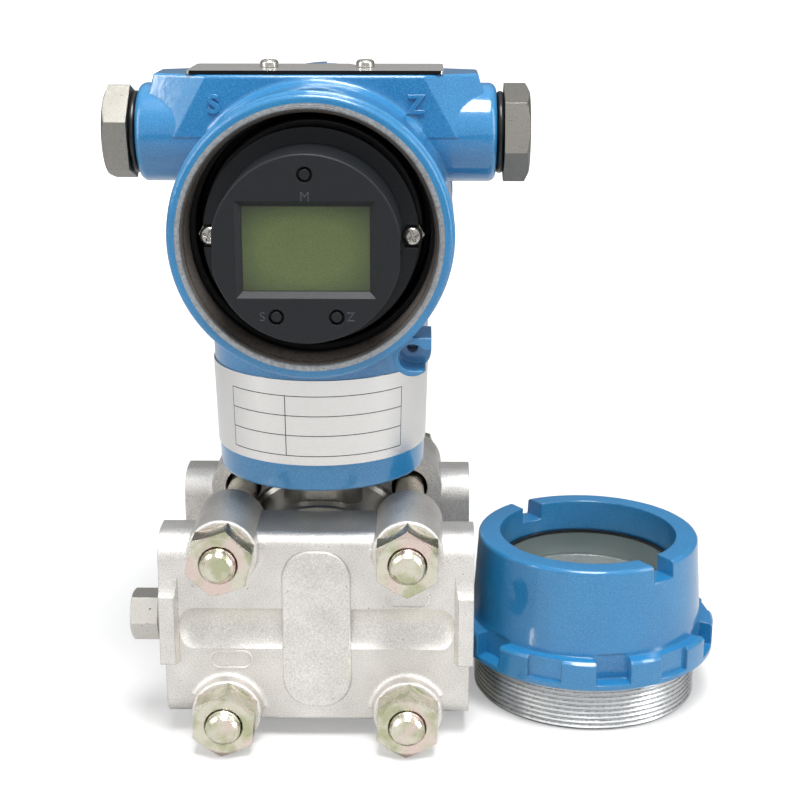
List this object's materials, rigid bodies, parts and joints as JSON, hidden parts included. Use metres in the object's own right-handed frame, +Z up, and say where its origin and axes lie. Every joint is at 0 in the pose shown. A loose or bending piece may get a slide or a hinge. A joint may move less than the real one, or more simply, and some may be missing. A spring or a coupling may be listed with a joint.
{
  "type": "differential pressure transmitter",
  "caption": "Differential pressure transmitter: clamped process flanges, sensor cell and a turnable housing with display, its glazed cover unscrewed beside it.",
  "frame": {"origin": "on the ground, in the middle of the footprint", "axes": "+Z up along the neck; the display faces -Y; the process connections face +X"},
  "size_m": [0.1794, 0.1196, 0.1914],
  "materials": {
    "blue_enamel": "glossy blue enamel over die-cast aluminium",
    "cast_stainless": "blasted cast stainless steel",
    "cell_steel": "turned stainless steel",
    "diaphragm_steel": "rolled stainless foil",
    "ptfe": "white seal",
    "yellow_zinc": "yellow passivated zinc plating",
    "plug_steel": "machined steel",
    "black_rubber": "glossy black rubber",
    "label_foil": "satin metal foil",
    "plate_stainless": "brushed stainless steel plate",
    "screw_steel": "nickel plated",
    "safety_glass": "toughened glass",
    "lock_ring_aluminium": "machined",
    "black_plastic": "fine textured moulding",
    "button_plastic": "moulded",
    "lcd": "liquid crystal display, unlit",
    "circuit_board": "solder mask",
    "brass": "turned",
    "potting": "potted module",
    "terminal_moulding": "moulded"
  },
  "bodies": {
    "process_side": {"front_flange": "cast_stainless", "rear_flange": "cast_stainless", "sensor_cell": "cell_steel", "isolating_diaphragms": "diaphragm_steel", "flange_gaskets": "ptfe", "flange_bolts": "yellow_zinc", "flange_nuts": "yellow_zinc", "front_vent_plug": "plug_steel", "rear_vent_plug": "plug_steel", "front_cover": "blue_enamel", "front_cover_glass": "safety_glass", "front_cover_gasket": "ptfe", "front_cover_lock_ring": "lock_ring_aluminium", "front_cover_oring": "black_rubber"},
    "housing": {"electronics_housing": "blue_enamel", "housing_set_screw": "screw_steel", "neck_label": "label_foil", "conduit_plug_left": "plug_steel", "conduit_plug_right": "plug_steel", "conduit_plug_orings": "black_rubber", "display_bezel": "black_plastic", "lcd_panel": "lcd", "display_board": "circuit_board", "display_screws": "screw_steel", "display_standoffs": "brass", "electronics_module": "potting", "module_screws": "screw_steel", "terminal_block": "terminal_moulding", "terminal_screws": "screw_steel", "ground_screw": "screw_steel", "nameplate_screws": "screw_steel"},
    "rear_cover_seal": {"rear_cover_oring": "black_rubber"},
    "rear_cover": {"rear_cover": "blue_enamel"},
    "mode_button": {"mode_button": "button_plastic"},
    "span_button": {"span_button": "button_plastic"},
    "zero_button": {"zero_button": "button_plastic"},
    "nameplate": {"nameplate": "plate_stainless"},
    "span_plunger": {"span_plunger": "button_plastic"},
    "zero_plunger": {"zero_plunger": "button_plastic"}
  },
  "joints": [
    {"name": "housing_turn", "type": "hinge", "parent": "process_side", "child": "housing", "pos_m": [-0.03, -0.00355, 0.085], "axis": [0, 0, 1], "range_deg": [-180, 180]},
    {"name": "rear_cover_travel", "type": "slide", "parent": "housing", "child": "rear_cover_seal", "axis": [0, 1, 0], "range_m": [0, 0.012]},
    {"name": "rear_cover_turn", "type": "hinge", "parent": "rear_cover_seal", "child": "rear_cover", "pos_m": [-0.03, 0.04145, 0.1479], "axis": [0, 1, 0], "range_deg": [0, 2880]},
    {"name": "mode_press", "type": "slide", "parent": "housing", "child": "mode_button", "axis": [0, 1, 0], "range_m": [0, 0.0008], "stiffness_N_per_m": 1000, "springref_m": -0.0005},
    {"name": "span_press", "type": "slide", "parent": "housing", "child": "span_button", "axis": [0, 1, 0], "range_m": [0, 0.0008], "stiffness_N_per_m": 1000, "springref_m": -0.0005},
    {"name": "zero_press", "type": "slide", "parent": "housing", "child": "zero_button", "axis": [0, 1, 0], "range_m": [0, 0.0008], "stiffness_N_per_m": 1000, "springref_m": -0.0005},
    {"name": "nameplate_swing", "type": "hinge", "parent": "housing", "child": "nameplate", "pos_m": [-0.0435, -0.00355, 0.189], "axis": [0, 0, 1], "range_deg": [-90, 0]},
    {"name": "span_plunger_push", "type": "slide", "parent": "housing", "child": "span_plunger", "axis": [0, 0, -1], "range_m": [0, 0.0012], "stiffness_N_per_m": 800, "springref_m": -0.0008},
    {"name": "zero_plunger_push", "type": "slide", "parent": "housing", "child": "zero_plunger", "axis": [0, 0, -1], "range_m": [0, 0.0012], "stiffness_N_per_m": 800, "springref_m": -0.0008}
  ],
  "couplings": [
    {"joint": "rear_cover_travel", "follows": "rear_cover_turn", "m_per_rad": 0.0002387}
  ]
}
